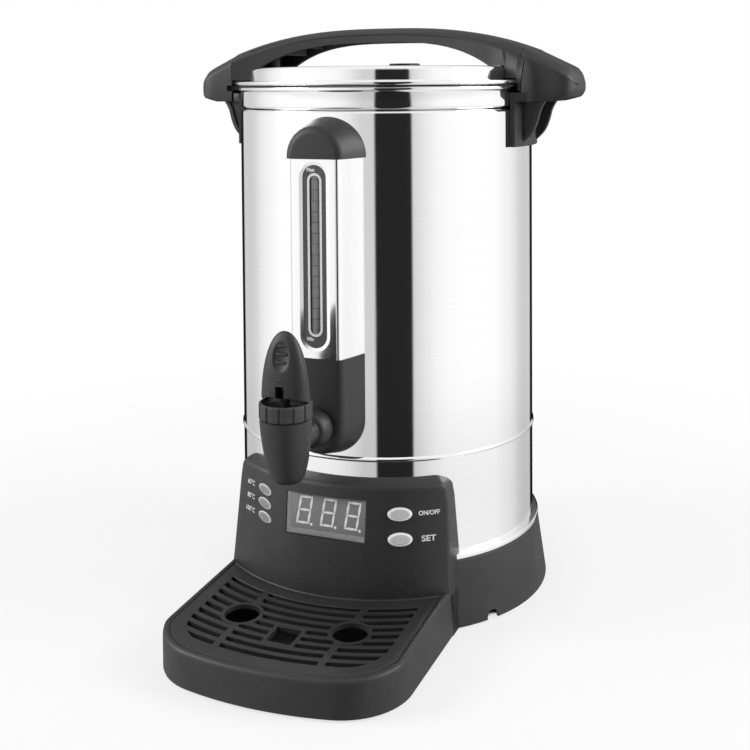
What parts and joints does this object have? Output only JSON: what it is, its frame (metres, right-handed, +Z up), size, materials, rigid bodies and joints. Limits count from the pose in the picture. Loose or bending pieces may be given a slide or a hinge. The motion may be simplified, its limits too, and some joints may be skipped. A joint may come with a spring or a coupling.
{
  "type": "hot water urn",
  "caption": "Round steel hot water urn with a twist-lock lid, arched handle, level gauge, lever tap, front display console and slotted drip tray.",
  "frame": {"origin": "middle of the footprint's bounding box, on the floor under the feet", "axes": "+Z up; -Y is the front, with tap, console and drip tray; +X is the right-hand grip seen from the front"},
  "size_m": [0.295, 0.3424, 0.405],
  "materials": {
    "polished_steel": "polished",
    "black_plastic": "satin",
    "inlet_plastic": "satin",
    "zinc_steel": "zinc plated",
    "cast_aluminium": "cast",
    "nozzle_brass": "machined",
    "rubber": "matte",
    "silicone": "translucent",
    "scale_plastic": "satin",
    "tube_glass": "clear",
    "grey_plastic": "satin",
    "button_plastic": "satin gloss",
    "display_lens": "tinted",
    "display_plastic": "matte",
    "board": "board"
  },
  "bodies": {
    "urn_body": {"outer_shell": "polished_steel", "inner_tank": "polished_steel", "tank_floor": "polished_steel", "trim_ring": "polished_steel", "gauge_cover": "polished_steel", "side_handle_left": "black_plastic", "side_handle_right": "black_plastic", "gauge_cap": "black_plastic", "tap_housing": "black_plastic", "tap_body": "black_plastic", "tap_bonnet": "black_plastic", "control_housing": "black_plastic", "base_skirt": "black_plastic", "base_plate": "zinc_steel", "base_screws": "zinc_steel", "feet": "rubber", "power_inlet": "inlet_plastic", "power_board": "board", "heater_plate": "cast_aluminium", "heater_element": "zinc_steel", "thermal_cutout": "inlet_plastic", "temperature_sensor": "zinc_steel", "tie_rod": "zinc_steel", "tie_nut": "zinc_steel", "side_handle_screws": "zinc_steel", "scale_plate": "scale_plastic", "sight_tube": "tube_glass", "tube_seals": "silicone", "outlet_manifold": "nozzle_brass", "outlet_nut": "nozzle_brass", "outlet_gasket": "silicone", "tap_spring": "zinc_steel", "display_lens": "display_lens", "display_module": "display_plastic", "indicator_lenses": "button_plastic", "switch_board": "board", "indicator_board": "board", "board_screws": "zinc_steel"},
    "lid": {"lid": "polished_steel", "lid_gasket": "rubber", "lid_handle": "black_plastic", "lid_handle_screws": "zinc_steel", "vent_cap": "black_plastic"},
    "tap_plunger": {"tap_stem": "grey_plastic", "seat_cup": "silicone"},
    "lever": {"tap_lever": "black_plastic", "lever_pin": "zinc_steel"},
    "on_off_key": {"on_off_button": "button_plastic"},
    "set_key": {"set_button": "button_plastic"},
    "grille": {"drip_grille": "black_plastic"}
  },
  "joints": [
    {"name": "lid_twist", "type": "hinge", "parent": "urn_body", "child": "lid", "pos_m": [0, 0.0508, 0.365], "axis": [0, 0, 1], "range_deg": [0, 30]},
    {"name": "tap_stem", "type": "slide", "parent": "urn_body", "child": "tap_plunger", "axis": [0, 0, 1], "range_m": [0, 0.00335], "stiffness_N_per_m": 500, "springref_m": -0.002, "deforming": ["tap_spring"]},
    {"name": "tap_lever", "type": "hinge", "parent": "tap_plunger", "child": "lever", "pos_m": [0, -0.1232, 0.17759], "axis": [1, 0, 0], "range_deg": [0, 24.5]},
    {"name": "on_off_button", "type": "slide", "parent": "urn_body", "child": "on_off_key", "axis": [-0.4132, 0.9026, -0.1205], "range_m": [0, 0.0015], "stiffness_N_per_m": 400, "springref_m": -0.0005},
    {"name": "set_button", "type": "slide", "parent": "urn_body", "child": "set_key", "axis": [-0.4132, 0.9026, -0.1205], "range_m": [0, 0.0015], "stiffness_N_per_m": 400, "springref_m": -0.0005},
    {"name": "grille_lift", "type": "slide", "parent": "urn_body", "child": "grille", "axis": [0, 0, 1], "range_m": [0, 0.06]}
  ],
  "couplings": [
    {"joint": "tap_lever", "follows": "tap_stem", "rad_per_m": 125}
  ]
}
